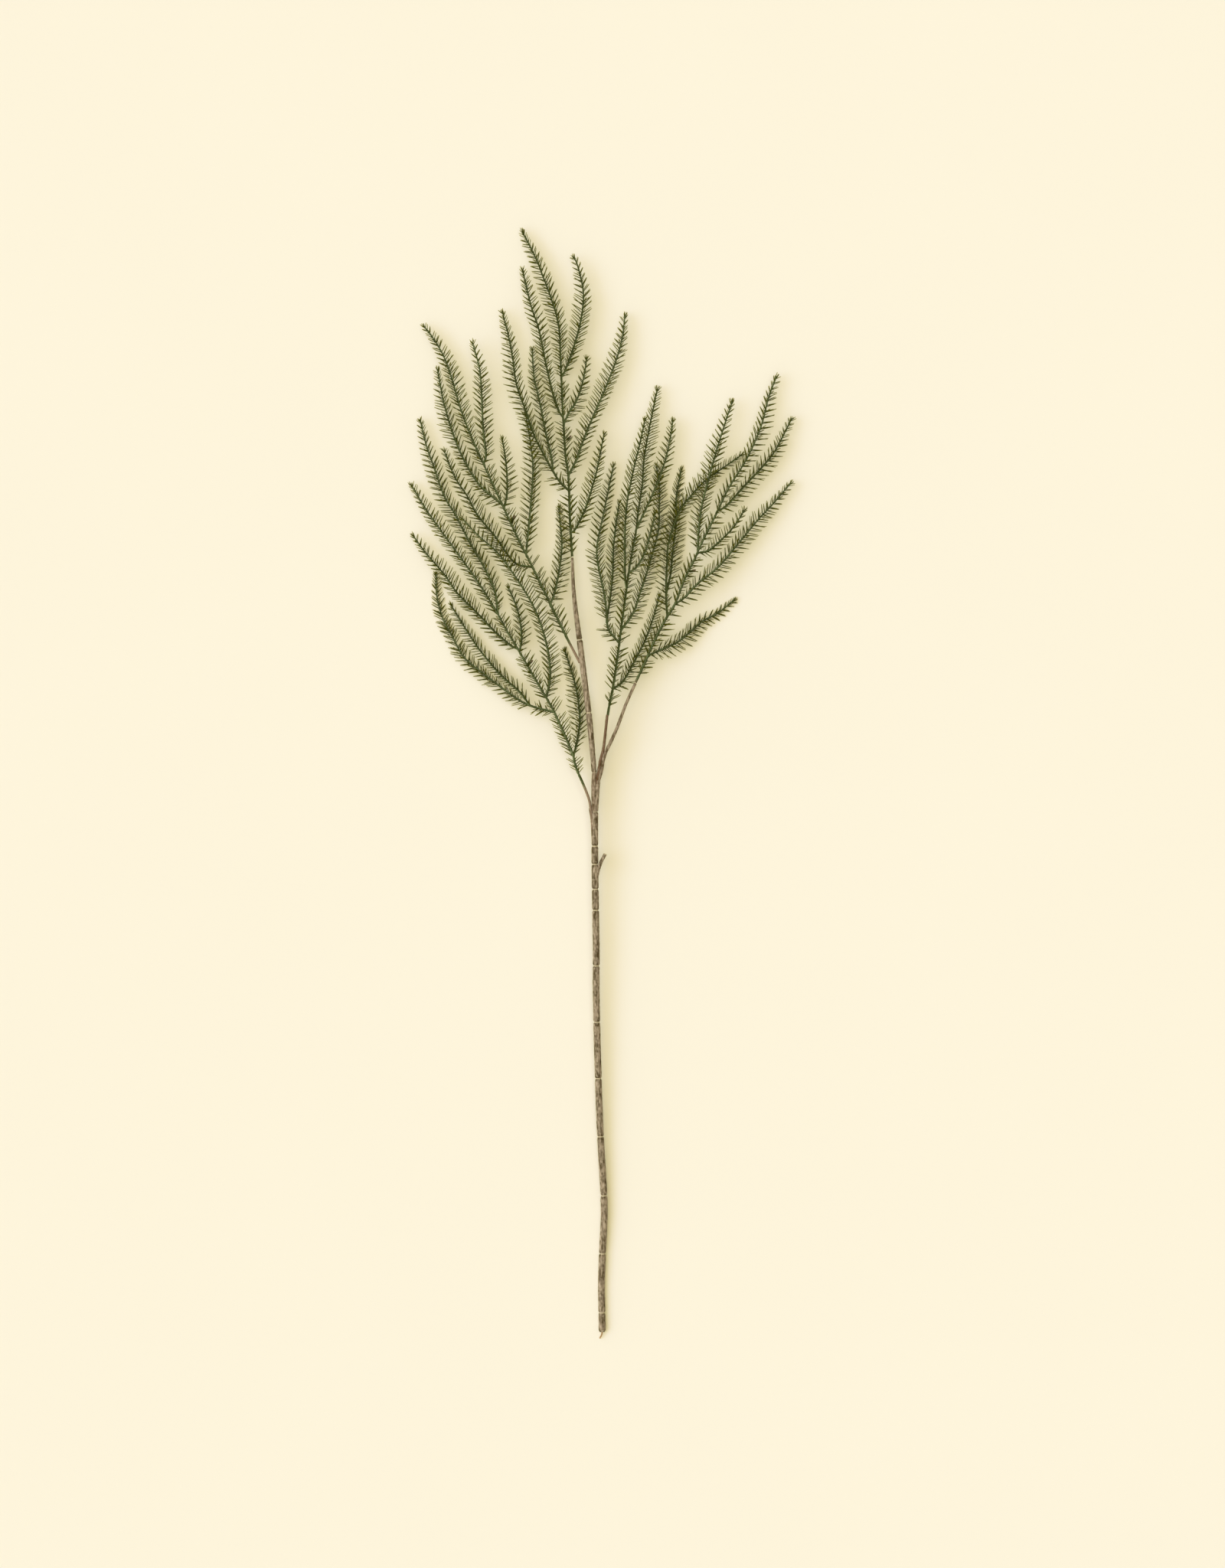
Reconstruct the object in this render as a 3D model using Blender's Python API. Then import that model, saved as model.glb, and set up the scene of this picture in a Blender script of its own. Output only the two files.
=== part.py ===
"""An artificial Norway spruce spray, lying flat as it was laid down.

A stem of moulded bark sleeves on a wire rises gently from its butt and forks into five flat sprays. Each
spray is an axis with side twigs, and each twig is a thin core with two rows of needles that point outwards
and forwards. The butt is at -Y, the tips are at +Y, and z = 0 is the surface the spray lies on.
"""

import math
import random

import bmesh
import bpy
import numpy as np
from mathutils import Matrix, Vector

MM = 0.001  # everything below is in millimetres, and becomes metres when a mesh is finished
GAP = 0.3  # between pieces that touch

# Moves the routes, so that the middle of the whole spray is at x = 0, y = 0
CENTRING = np.array((-0.6, -1.3, 0))

# Stem: points on its centre line, then where one sleeve ends and the next begins
STEM_ROUTE = [
    (1.2, -573, 3.34), (0.8, -548, 3.34), (0.4, -524, 3.5), (1.4, -492, 4.4), (3.3, -440, 6.7),
    (-0.7, -364, 9.7), (-3, -300, 12.5), (-5, -220, 16), (-5, -172, 18), (-6.3, -84, 21.5),
    (-6.2, -28, 23.5), (-6.2, 0, 24.5), (-7.6, 18, 25), (-9, 36, 25.5), (-13, 76, 26.5), (-21, 140, 28),
    (-28, 196, 28.5), (-30, 238, 28),
]
SLEEVE_JOINTS = (
    -573, -553, -491, -430, -368, -307, -248, -189, -131, -109, -83, -64, -28, 12.5, 75, 151, 237,
)
STEM_RADIUS = 3.6
# Sleeves whose radius isn't the stem's: (at their lower end, at their upper end)
SLEEVE_RADII = {12: (3.4, 3.6), 13: (3.8, 4.3), 14: (2.7, 3.3), 15: (3.0, 3.2), 16: (3.1, 1.2)}
BUTT_SLEEVE = 1
SPUR_SLEEVE = 10
SPUR_ROUTE = [(-5, -92, 21.3), (-2.8, -86, 22), (-0.7, -80, 22.6), (1.1, -76, 23), (3.6, -72.6, 23.3)]
SPUR_RADIUS = 1.75

WIRE_RADIUS = 0.65
WIRE_BORE_RADIUS = 0.95
WIRE_IN_BUTT = 15
WIRE_TIP = (-2, -580, 3.0)

# The side fork and its two stalks: route, then the radius at each end
SIDE_SLEEVES = {
    "side_fork_sleeve": ([(-2.1, 13, 24.6), (-0.4, 21, 24.8), (2.6, 30.5, 25)], 2.4, 2.7),
    "middle_stalk_sleeve": ([(1.4, 32, 25), (2.4, 44, 25.2), (6, 68, 25.4), (6.8, 72, 25.5)], 1.3, 1.4),
    "right_stalk_sleeve": (
        [(5.4, 32.5, 25), (8.6, 44, 25.6), (16, 60, 26.2), (25.8, 84, 26.8), (35.7, 105.5, 27)], 2.0, 1.7,
    ),
}

# Sprays: each route runs from a twig's root to its tip, as (x, y, height of the core)
TOP_SPRAY = {
    "axis": [
        (-30, 238, 28), (-32, 272, 27.5), (-34, 322, 26), (-37, 344, 25), (-40, 394, 23), (-42, 440, 21),
        (-44, 478, 19.5), (-52, 508, 18), (-61, 532, 16), (-68, 550, 14.5), (-82, 578, 12),
    ],
    "twig_1": [
        (-40, 384, 23.5), (-44, 390, 23), (-50, 408, 22), (-57, 437, 20), (-65, 476, 17.5),
        (-73, 500, 16), (-82, 538, 13),
    ],
    "twig_2": [
        (-41, 426, 22), (-37, 433, 22), (-29, 455, 21.5), (-22, 480, 20), (-18.5, 503, 18.5),
        (-19, 519, 17.5), (-24, 541, 16), (-28, 551, 15),
    ],
    "twig_3": [
        (-34, 307, 26.5), (-43, 316, 26), (-54, 334, 25.5), (-69, 363, 24.5), (-78, 389, 23),
        (-88, 417, 20.5), (-92, 444, 18), (-96, 466, 16), (-103, 494, 13),
    ],
    "twig_4": [
        (-50, 328, 25), (-52, 343, 23.5), (-58, 369, 20), (-63, 395, 16), (-69, 421, 11.5),
        (-71, 437, 8.5), (-72, 456, 6),
    ],
    "twig_5": [
        (-38, 378, 23.5), (-33, 389, 22.5), (-27, 398, 21), (-21, 413, 19), (-17, 431, 17), (-15, 445, 15.5),
    ],
    "twig_6": [
        (-33, 324, 26), (-26, 338, 25.5), (-17, 363, 24), (-7, 387, 22), (3, 410, 20), (15, 441, 17),
        (22, 466, 15), (25, 490, 13),
    ],
    "twig_7": [
        (-31, 263, 27.5), (-27, 266, 28), (-17, 286, 29), (-10, 307, 29), (-4, 329, 28), (1, 355, 26),
        (3, 365, 25),
    ],
}
UPPER_LEFT_SPRAY = {
    "axis": [
        (-22, 127, 27.5), (-36, 154, 27), (-52, 187, 26), (-71, 226, 25), (-89, 262, 24.5), (-102, 290, 24),
        (-119, 327, 22.5), (-134, 360, 20.5), (-147, 394, 18.5), (-156, 425, 16.5), (-165, 449, 15),
        (-177, 469, 13.5), (-185, 479, 12.5),
    ],
    "twig_1": [
        (-122, 336, 22.5), (-120, 345, 23), (-123, 373, 24), (-124, 398, 24), (-126, 429, 22.5),
        (-129, 444, 21.5), (-134, 461, 20),
    ],
    "twig_2": [
        (-102, 291, 23.5), (-110, 298, 22), (-125, 311, 19.5), (-138, 330, 16.5), (-149, 352, 14),
        (-157, 374, 12), (-165, 402, 10.5), (-171, 434, 9),
    ],
    "twig_3": [(-101, 289, 24), (-98, 303, 24), (-98, 324, 23.5), (-100, 343, 22), (-103, 361, 20.5)],
    "twig_4": [
        (-72, 227, 24.5), (-84, 229, 21), (-94, 236, 18), (-111, 260, 15.5), (-129, 282, 14.5),
        (-140, 302, 13.5), (-153, 322, 12.5), (-164, 349, 11),
    ],
    "twig_5": [
        (-78, 241, 24.5), (-76, 262, 22), (-73, 296, 18.5), (-71, 328, 15), (-73, 353, 11.5), (-79, 390, 7),
    ],
    "twig_6": [
        (-53, 188, 26), (-49, 198, 22), (-44, 222, 14.5), (-41, 250, 8), (-43, 277, 3.2), (-44, 291, 2.2),
    ],
}
LOWER_LEFT_SPRAY = {
    "axis": [
        (-10.5, -27, 23), (-12, -17, 23), (-16, -5.5, 23), (-20.5, 5, 23), (-24.3, 13.5, 23),
        (-27.5, 23, 22.5), (-31, 36, 22), (-50, 78, 21), (-69, 111, 20), (-87, 142, 19),
        (-99, 162, 18.5), (-111, 184, 18), (-128, 211, 17), (-145, 235, 16), (-164, 261, 14.5),
        (-183, 288, 13), (-198, 313, 12),
    ],
    "twig_1": [
        (-87, 142, 18.5), (-95, 146, 17.5), (-111, 160, 16.5), (-128, 178, 16), (-150, 200, 15.5),
        (-164, 220, 15), (-183, 242, 13.5), (-196, 260, 12),
    ],
    "twig_2": [
        (-50, 76, 20.5), (-69, 81, 16.5), (-83, 87, 13.5), (-103, 101, 10), (-124, 117, 7.5),
        (-143, 133, 5.5), (-155, 154, 4), (-166, 175, 3.2), (-172, 198, 2.8), (-173, 220, 2.8),
    ],
    "twig_3": [
        (-75, 84, 15.5), (-86, 98, 14), (-103, 113, 12.5), (-119, 131, 11), (-132, 148, 10),
        (-146, 170, 9), (-157, 188, 8.5),
    ],
    "twig_4": [
        (-57, 92, 20.5), (-54, 104, 21.5), (-53, 120, 23), (-57, 148, 25), (-69, 183, 26.5),
        (-88, 215, 26.5), (-108, 242, 24.5), (-127, 259, 22), (-145, 278, 19),
    ],
    "twig_5": [(-85, 139, 19), (-83, 150, 18), (-84, 168, 16), (-89, 188, 13.5), (-97, 206, 11.5)],
    "twig_6": [
        (-28, 33, 22), (-24, 50, 18), (-22, 69, 12.5), (-25, 96, 6.5), (-31, 119, 3.2), (-38, 141, 2.2),
    ],
    "twig_7": [
        (-108, 182, 17.5), (-111, 202, 15), (-122, 227, 12), (-137, 253, 10.5), (-152, 282, 10),
        (-164, 302, 10.5), (-175, 333, 11), (-183, 356, 11), (-189, 381, 10.5),
    ],
}
MIDDLE_SPRAY = {
    "axis": [
        (7, 72.5, 25.5), (9, 84, 25.5), (12.3, 100, 25.5), (14.8, 116, 25.5), (18, 139, 25), (22, 170, 24.5),
        (27, 206, 24), (29, 222, 23.5), (33, 245, 22.5), (37, 267, 21.5), (39, 286, 20.5), (43, 312, 19),
        (45, 340, 17.5), (50, 370, 15.5), (55, 395, 13.5), (59, 414, 12),
    ],
    "twig_1": [
        (26, 209, 24.5), (25, 222, 26), (25, 237, 27.5), (25, 262, 29), (27, 293, 29), (33, 324, 28),
        (41, 358, 26), (46, 381, 24),
    ],
    "twig_2": [(37, 267, 22), (46, 286, 22), (56, 308, 21), (66, 335, 19), (72, 360, 17), (75, 380, 15)],
    "twig_3": [
        (18, 149, 24.5), (8, 162, 22), (6, 176, 20.5), (4, 196, 19), (-3, 230, 16.5), (-4, 250, 15),
        (3, 285, 12.5), (8, 310, 11), (13, 334, 10),
    ],
    "twig_4": [(6, 172, 20.5), (9, 192, 17), (12, 218, 14), (13, 248, 12), (16, 275, 10.5), (19, 295, 9.5)],
    "twig_5": [
        (29, 221, 23.5), (36, 226, 25), (44, 238, 26.5), (50, 256, 27), (55, 276, 26), (56, 283, 25.5),
    ],
    "twig_6": [
        (23, 164, 24.5), (34, 180, 21), (41, 201, 17), (48, 222, 13.5), (54, 243, 10.5), (60, 266, 8.5),
        (61, 290, 7.5), (61, 312, 7), (58, 334, 7),
    ],
    "twig_7": [(13, 100, 25), (23, 108, 22.5), (34, 127, 18), (47, 153, 14), (56, 179, 11.5), (61, 198, 10)],
}
RIGHT_SPRAY = {
    "axis": [
        (36, 106.5, 27), (47, 130, 27), (53, 144, 27), (66, 170, 26.5), (77, 188, 26), (87, 214, 25.5),
        (98, 236, 25), (104, 250, 24.5), (120, 282, 23), (133, 309, 21.5), (153, 342, 19.5), (167, 374, 17),
        (175, 404, 14.5), (183, 426, 13),
    ],
    "twig_1": [
        (101, 244, 24.5), (102, 266, 24.5), (105, 290, 24.5), (112, 318, 24), (120, 347, 22),
        (130, 379, 19), (137, 400, 17),
    ],
    "twig_2": [
        (122, 286, 23), (131, 291, 22.5), (149, 311, 20.5), (166, 329, 18), (180, 346, 15.5),
        (190, 364, 13), (199, 382, 11),
    ],
    "twig_3": [
        (77, 188, 25.5), (88, 196, 24.5), (100, 209, 23), (121, 226, 21), (136, 243, 19), (150, 260, 17),
        (165, 278, 15), (180, 294, 13), (198, 315, 10.5),
    ],
    "twig_4": [
        (102, 242, 24.5), (112, 244, 26), (124, 254, 28), (136, 266, 29), (145, 279, 29), (149, 286, 28.5),
    ],
    "twig_5": [
        (52, 136, 26.5), (61, 140, 22), (70, 144, 18), (84, 152, 11.5), (106, 171, 5), (121, 179, 3),
        (139, 193, 2.2),
    ],
    "twig_6": [
        (69, 178, 25.5), (68, 200, 21.5), (69, 232, 17.5), (71, 254, 16), (81, 284, 14), (94, 302, 12),
        (110, 319, 10.5), (130, 333, 9.5), (147, 345, 9),
    ],
    "twig_7": [
        (69, 203, 20.5), (73, 222, 14), (75, 244, 8.5), (78, 268, 4.8), (79, 286, 3.3), (79, 303, 2.6),
        (84, 330, 2.4),
    ],
}
SPRAYS = {
    "top_spray": TOP_SPRAY,
    "upper_left_spray": UPPER_LEFT_SPRAY,
    "lower_left_spray": LOWER_LEFT_SPRAY,
    "middle_spray": MIDDLE_SPRAY,
    "right_spray": RIGHT_SPRAY,
}

# Twigs: a three-sided core, a tooth of needles on each side at every step
AXIS_RADIUS = 1.6
TWIG_RADIUS = 1.3
TIP_RADIUS = 0.7
NEEDLE_STEP = 8.8
NEEDLE_LENGTH = 13.2
TIP_NEEDLE_LENGTH = 5.5
NEEDLE_TAPER = 60  # over this much of a twig, its needles shorten towards the tip
NEEDLE_ANGLE = math.radians(50)  # away from the core
NEEDLE_RISES = (0.16, -0.28)  # up, then down, as a share of the needle's length
BARE_ROOT = 3
BARE_STALKS = {
    "upper_left_spray_axis": 28, "lower_left_spray_axis": 40, "middle_spray_axis": 14, "right_spray_axis": 18,
}
FOLLOWS_A_SLEEVE = ("top_spray_axis", "middle_spray_axis", "right_spray_axis")
SHORTENING = (1.0, 0.85, 0.7, 0.55, 0.4)  # a needle gives way to the next twig in these steps
CROWDING_MARGIN = 0.8
FLATNESS = np.array((1, 1, 3))  # needles spread three times as far sideways as up and down

SAMPLE = 2.0  # distance between the points that stand for a route
ROOT_REACH = 26  # a twig's root is cut back to clear what it grows from, over no more than this
BARK_LUMPS = 0.05  # share of the radius
RINGS_PER_SLEEVE = 3
SHOULDERS = ((0, 0.62), (0.8, 0.88), (2.2, 1))  # a sleeve's round end: distance from it, share of the radius
SHOULDER_LENGTH = 3
WIRE_STICKS_OUT_STRAIGHT = 1
BORE_RUNS_PAST = 3
SHARP_ANGLE = math.radians(50)

NEEDLE_GREEN = (0.15, 0.16, 0.08)
BARK_BROWN = (0.33, 0.26, 0.18)
STALK_BROWN = (0.22, 0.14, 0.09)
WIRE_RUST = (0.22, 0.15, 0.10)


def clear_scene():
    for obj in list(bpy.data.objects):
        bpy.data.objects.remove(obj, do_unlink=True)


def surface_material(name, colour, roughness, metallic=0.0):
    material = bpy.data.materials.new(name)
    material.use_nodes = True
    shader = material.node_tree.nodes["Principled BSDF"]
    shader.inputs["Base Color"].default_value = (*colour, 1)
    shader.inputs["Roughness"].default_value = roughness
    shader.inputs["Metallic"].default_value = metallic
    return material


def smooth_route(points, step=SAMPLE):
    """Evenly spaced points on a smooth curve through a route's own points."""
    own = np.array(points, float) + CENTRING
    knots = np.vstack((2 * own[0] - own[1], own, 2 * own[-1] - own[-2]))
    share = np.linspace(0, 1, 12, endpoint=False)[:, None]
    pieces = []
    for a, b, c, d in zip(knots, knots[1:], knots[2:], knots[3:]):
        bend = (2 * a - 5 * b + 4 * c - d) * share**2 + (3 * b - a - 3 * c + d) * share**3
        pieces.append(b + ((c - a) * share + bend) / 2)
    return respaced(np.vstack((*pieces, own[-1])), step)


def respaced(line, step):
    """The same line with its points one step apart, or as near to that as its length allows."""
    along = distances_along(line)
    count = max(2, round(along[-1] / step) + 1)
    wanted = np.linspace(0, along[-1], count)
    return np.column_stack([np.interp(wanted, along, line[:, i]) for i in range(3)])


def distances_along(line):
    return np.concatenate(([0], np.cumsum(np.linalg.norm(np.diff(line, axis=0), axis=1))))


def between_heights(line, low, high):
    """The stretch of a line that runs from y = low to y = high, with points at both ends."""
    at = [[np.interp(y, line[:, 1], line[:, i]) for i in range(3)] for y in (low, high)]
    inside = line[(line[:, 1] > low + 1) & (line[:, 1] < high - 1)]
    return np.vstack((at[0], inside, at[1]))


def ring_frames(line):
    """A matrix for each point of a line: X to the side, Y up and Z along it."""
    frames = []
    for point, ahead in zip(line, np.gradient(line, axis=0)):
        ahead = Vector(ahead).normalized()
        side = ahead.cross(Vector((0, 0, 1))).normalized()
        axes = Matrix((side, side.cross(ahead), ahead)).transposed()
        frames.append(Matrix.Translation(Vector(point)) @ axes.to_4x4())
    return frames


def start_tube(sides, frame, radius):
    """A mesh that holds one flat end face, ready to be extruded."""
    mesh = bmesh.new()
    turned = Matrix.Rotation(math.pi / sides if sides > 3 else 0, 4, "Z")
    bmesh.ops.create_circle(mesh, cap_ends=True, segments=sides, radius=1, matrix=turned)
    placing = frame @ Matrix.Diagonal((radius, radius, 1, 1))
    bmesh.ops.transform(mesh, matrix=placing, verts=mesh.verts)
    return mesh, mesh.faces[:][0], placing


def grow_tube(mesh, end, placing, frame, radius):
    """Extrudes the end face to a new ring. Returns the new end face, its placing and the sides it left."""
    grown = bmesh.ops.extrude_face_region(mesh, geom=[end, *end.edges])["geom"]
    end = next(item for item in grown if isinstance(item, bmesh.types.BMFace))
    placed = frame @ Matrix.Diagonal((radius, radius, 1, 1))
    bmesh.ops.transform(mesh, matrix=placed @ placing.inverted(), verts=end.verts)
    sides = [face for edge in end.edges for face in edge.link_faces if face is not end]
    return end, placed, sides


def finished_object(name, mesh, material, root, smooth=True):
    """An object in metres whose origin is at the piece's root."""
    root = Vector(root)
    bmesh.ops.recalc_face_normals(mesh, faces=mesh.faces)
    bmesh.ops.translate(mesh, vec=-root, verts=mesh.verts)
    bmesh.ops.scale(mesh, vec=(MM, MM, MM), verts=mesh.verts)
    data = bpy.data.meshes.new(name)
    mesh.to_mesh(data)
    mesh.free()
    data.materials.append(material)
    if smooth:
        data.shade_smooth()
        data.set_sharp_from_angle(angle=SHARP_ANGLE)
    obj = bpy.data.objects.new(name, data)
    obj.location = root * MM
    bpy.context.scene.collection.objects.link(obj)
    return obj


def sleeve_profile(length, low_radius, high_radius):
    """(Distance from the lower end, radius) of each ring: round shoulders, and lumpy bark between."""
    middles = [(length * (i + 1) / (RINGS_PER_SLEEVE + 1), 1) for i in range(RINGS_PER_SLEEVE)]
    rings = [*SHOULDERS, *middles, *((length - d, share) for d, share in reversed(SHOULDERS))]
    return [(d, share * (low_radius + (high_radius - low_radius) * d / length)) for d, share in rings]


def bark_sleeve_mesh(line, low_radius, high_radius, sides=8, lumps=BARK_LUMPS):
    """One closed sleeve with round ends along a line, keeping half a gap at each end."""
    along = distances_along(line)
    length = along[-1] - GAP
    profile = sleeve_profile(length, low_radius, high_radius)
    stations = np.array([GAP / 2 + d for d, _ in profile])
    rings = np.column_stack([np.interp(stations, along, line[:, i]) for i in range(3)])
    frames = ring_frames(rings)
    mesh, end, placing = start_tube(sides, frames[0], profile[0][1])
    for frame, (distance, radius) in zip(frames[1:], profile[1:]):
        lump = random.uniform(-lumps, lumps) if SHOULDER_LENGTH < distance < length - SHOULDER_LENGTH else 0
        end, placing, _ = grow_tube(mesh, end, placing, frame, radius * (1 + lump))
    return mesh


def make_stem(bark):
    """The sleeves, with a cut spur on one and a bore for the wire in the first. Returns the centre line."""
    stem = smooth_route(STEM_ROUTE)
    joints = [y + CENTRING[1] for y in SLEEVE_JOINTS]
    for number, (low, high) in enumerate(zip(joints, joints[1:]), start=1):
        radii = SLEEVE_RADII.get(number, (STEM_RADIUS, STEM_RADIUS))
        lumps = 0 if number == BUTT_SLEEVE else BARK_LUMPS
        line = between_heights(stem, low, high)
        mesh = bark_sleeve_mesh(line, *radii, lumps=lumps)
        sleeve = finished_object(f"stem_sleeve_{number:02d}", mesh, bark, line[0])
        if number == BUTT_SLEEVE:
            bore = np.array((line[0] - (0, BORE_RUNS_PAST, 0), wire_end_inside(line) + (0, 1, 0)))
            combine(sleeve, "wire_bore", tube_object("wire_bore", bore, WIRE_BORE_RADIUS, bark), "DIFFERENCE")
        if number == SPUR_SLEEVE:
            spur = tube_object("cut_spur", np.array(SPUR_ROUTE) + CENTRING, SPUR_RADIUS, bark)
            combine(sleeve, "cut_spur", spur, "UNION")
    return stem


def combine(obj, name, other, operation):
    """Adds a helper to an object or cuts it away. The helper itself isn't part of the spray."""
    other.hide_render = True
    other.display_type = "WIRE"
    modifier = obj.modifiers.new(name, "BOOLEAN")
    modifier.operation = operation
    modifier.object = other


def wire_end_inside(stem):
    return between_heights(stem, stem[0, 1], stem[0, 1] + WIRE_IN_BUTT)[-1]


def tube_object(name, line, radius, material, sides=6):
    frames = ring_frames(line)
    mesh, end, placing = start_tube(sides, frames[0], radius)
    for frame in frames[1:]:
        end, placing, _ = grow_tube(mesh, end, placing, frame, radius)
    return finished_object(name, mesh, material, line[0])


def make_wire(stem, rust):
    """The wire's end, which runs in the bore and then bends aside."""
    tip = np.array(WIRE_TIP) + CENTRING
    mouth = stem[0] - (0, WIRE_STICKS_OUT_STRAIGHT, 0)
    line = np.array((wire_end_inside(stem), mouth, tip))
    tube_object("stem_wire", line, WIRE_RADIUS, rust)


def make_side_sleeves(bark, stalk_bark):
    lines = []
    for name, (points, low_radius, high_radius) in SIDE_SLEEVES.items():
        line = smooth_route(points)
        mesh = bark_sleeve_mesh(line, low_radius, high_radius, sides=6)
        material = stalk_bark if name == "middle_stalk_sleeve" else bark
        finished_object(name, mesh, material, line[0])
        lines.append((line, low_radius))
    return lines


def clearance(points, line, radius):
    """Each point's distance from the surface of a round tube along a line."""
    apart = np.linalg.norm(points[:, None] - line[None], axis=2)
    return apart.min(axis=1) - radius


def root_trimmed(line, radius, grown):
    """Cuts a route's root back until it clears everything that has grown before it."""
    reach = min(len(line) - 3, round(ROOT_REACH / SAMPLE))
    start = 0
    for other, other_radius in grown:
        crowded = np.nonzero(clearance(line[:reach], other, other_radius) < radius + GAP)[0]
        if len(crowded):
            start = max(start, crowded[-1] + 1)
    return line[start:]


def twig_routes(grown):
    """Every twig's trimmed route and radius. What has grown already is a list of (line, radius)."""
    grown = list(grown)
    twigs = {}
    for spray, routes in SPRAYS.items():
        for part, points in routes.items():
            radius = AXIS_RADIUS if part == "axis" else TWIG_RADIUS
            name = f"{spray}_{part}"
            line = smooth_route(points)
            if name not in FOLLOWS_A_SLEEVE:
                line = root_trimmed(line, radius, grown)
            twigs[name] = (line, radius)
            grown.append((line, radius))
    return twigs


def free_share(root, tip, own, own_radius, others, other_radii):
    """The largest share of a needle that stays nearer to its own twig than to anything else."""
    for share in SHORTENING:
        samples = root + (tip - root) * share * np.array([[0.5], [0.75], [1.0]])
        to_own = clearance(samples * FLATNESS, own * FLATNESS, own_radius)
        apart = np.linalg.norm((samples[:, None] - others[None]) * FLATNESS, axis=2) - other_radii
        if (to_own + CROWDING_MARGIN < apart.min(axis=1)).all():
            return share
    return 0


def needle_tip(frame, side, length, rise):
    """Where a needle on this side of a ring's middle ends."""
    outwards = side * length * math.sin(NEEDLE_ANGLE)
    tip = frame @ Vector((outwards, length * rise, length * math.cos(NEEDLE_ANGLE)))
    tip.z = max(tip.z, 0)
    return tip


def pull_needles(mesh, sides, middle, index, length, fits):
    """Pokes the two upper sides of a stretch of core and pulls each into a tooth of needles."""
    for face in sides:
        offset = (middle.inverted() @ face.calc_center_median()).x
        if abs(offset) < 0.1:
            continue
        side = math.copysign(1, offset)
        rise = NEEDLE_RISES[(index + (side > 0)) % 2]
        tip = needle_tip(middle, side, length, rise)
        root = face.calc_center_median()
        share = fits(np.array(root), np.array(tip))
        if share:
            peak = bmesh.ops.poke(mesh, faces=[face])["verts"][0]
            peak.co = root + (tip - root) * share


def needled_twig(name, line, radius, others, other_radii, green):
    """A tapering three-sided core with needles from its bare root to its tip."""
    stations = respaced(line, NEEDLE_STEP)
    frames = ring_frames(stations)
    middles = ring_frames((stations[1:] + stations[:-1]) / 2)
    along = distances_along(stations)
    bare = BARE_STALKS.get(name, BARE_ROOT)
    mesh, end, placing = start_tube(3, frames[0], radius)

    def fits(root, tip):
        return free_share(root, tip, line, radius, others, other_radii)

    for index in range(1, len(frames)):
        left = along[-1] - along[index]
        here = TIP_RADIUS + (radius - TIP_RADIUS) * left / along[-1]
        end, placing, sides = grow_tube(mesh, end, placing, frames[index], here)
        if along[index] > bare:
            length = TIP_NEEDLE_LENGTH + (NEEDLE_LENGTH - TIP_NEEDLE_LENGTH) * min(1, left / NEEDLE_TAPER)
            pull_needles(mesh, sides, middles[index - 1], index, length, fits)
    peak = bmesh.ops.poke(mesh, faces=[end])["verts"][0]
    peak.co = frames[-1] @ Vector((0, 0, TIP_NEEDLE_LENGTH))
    return finished_object(name, mesh, green, line[0], smooth=False)


def make_twigs(grown, green):
    twigs = twig_routes(grown)
    lines = [line for line, _ in grown] + [line for line, _ in twigs.values()]
    radii = [radius for _, radius in grown] + [radius for _, radius in twigs.values()]
    for number, (name, (line, radius)) in enumerate(twigs.items(), start=len(grown)):
        rest = [i for i in range(len(lines)) if i != number]
        others = np.vstack([lines[i] for i in rest])
        other_radii = np.concatenate([np.full(len(lines[i]), radii[i]) for i in rest])
        needled_twig(name, line, radius, others, other_radii, green)


def hold_together():
    """Parents every piece to one empty, so that the whole spray moves as one."""
    whole = bpy.data.objects.new("norway_spruce_spray", None)
    for obj in list(bpy.context.scene.collection.objects):
        obj.parent = whole
    bpy.context.scene.collection.objects.link(whole)


def main():
    random.seed(7)
    clear_scene()
    green = surface_material("needle_green", NEEDLE_GREEN, 0.6)
    bark = surface_material("bark_brown", BARK_BROWN, 0.8)
    stalk_bark = surface_material("stalk_brown", STALK_BROWN, 0.6)
    rust = surface_material("wire_rust", WIRE_RUST, 0.55, metallic=0.8)
    stem = make_stem(bark)
    make_wire(stem, rust)
    side_lines = make_side_sleeves(bark, stalk_bark)
    make_twigs([(stem, STEM_RADIUS), *side_lines], green)
    hold_together()


main()
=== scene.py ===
"""Looks of an artificial Norway spruce spray, laid flat and seen from above.

Every piece follows the same routes as the solid it stands for. A twig is a knobbly moulded core with rows
of thin curved needles, and a sleeve is a tube of moulded bark with pale rounded ends.
"""

import math

import bmesh
import bpy
import numpy as np
from mathutils import Matrix, Vector, noise


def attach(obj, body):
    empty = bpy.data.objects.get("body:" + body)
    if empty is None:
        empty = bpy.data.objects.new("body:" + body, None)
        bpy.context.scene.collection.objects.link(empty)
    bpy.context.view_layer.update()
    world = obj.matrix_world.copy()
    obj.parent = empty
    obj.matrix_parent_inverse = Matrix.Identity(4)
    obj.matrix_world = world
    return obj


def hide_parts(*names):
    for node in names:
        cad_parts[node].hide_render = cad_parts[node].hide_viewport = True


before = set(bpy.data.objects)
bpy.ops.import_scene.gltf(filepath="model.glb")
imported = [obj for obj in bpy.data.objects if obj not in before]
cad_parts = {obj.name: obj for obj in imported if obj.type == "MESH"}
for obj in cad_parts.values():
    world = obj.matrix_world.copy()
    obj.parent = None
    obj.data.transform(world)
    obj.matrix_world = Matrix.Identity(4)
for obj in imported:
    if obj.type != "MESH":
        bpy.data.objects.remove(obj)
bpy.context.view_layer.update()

MM = 0.001  # routes and sizes are in millimetres, and become metres when a mesh is finished
SEED = 11
CENTRING = np.array((-0.6, -1.3, 0))
SAMPLE = 1.0

STRANDS_ONLY = 13  # this sleeve is two strands side by side

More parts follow.
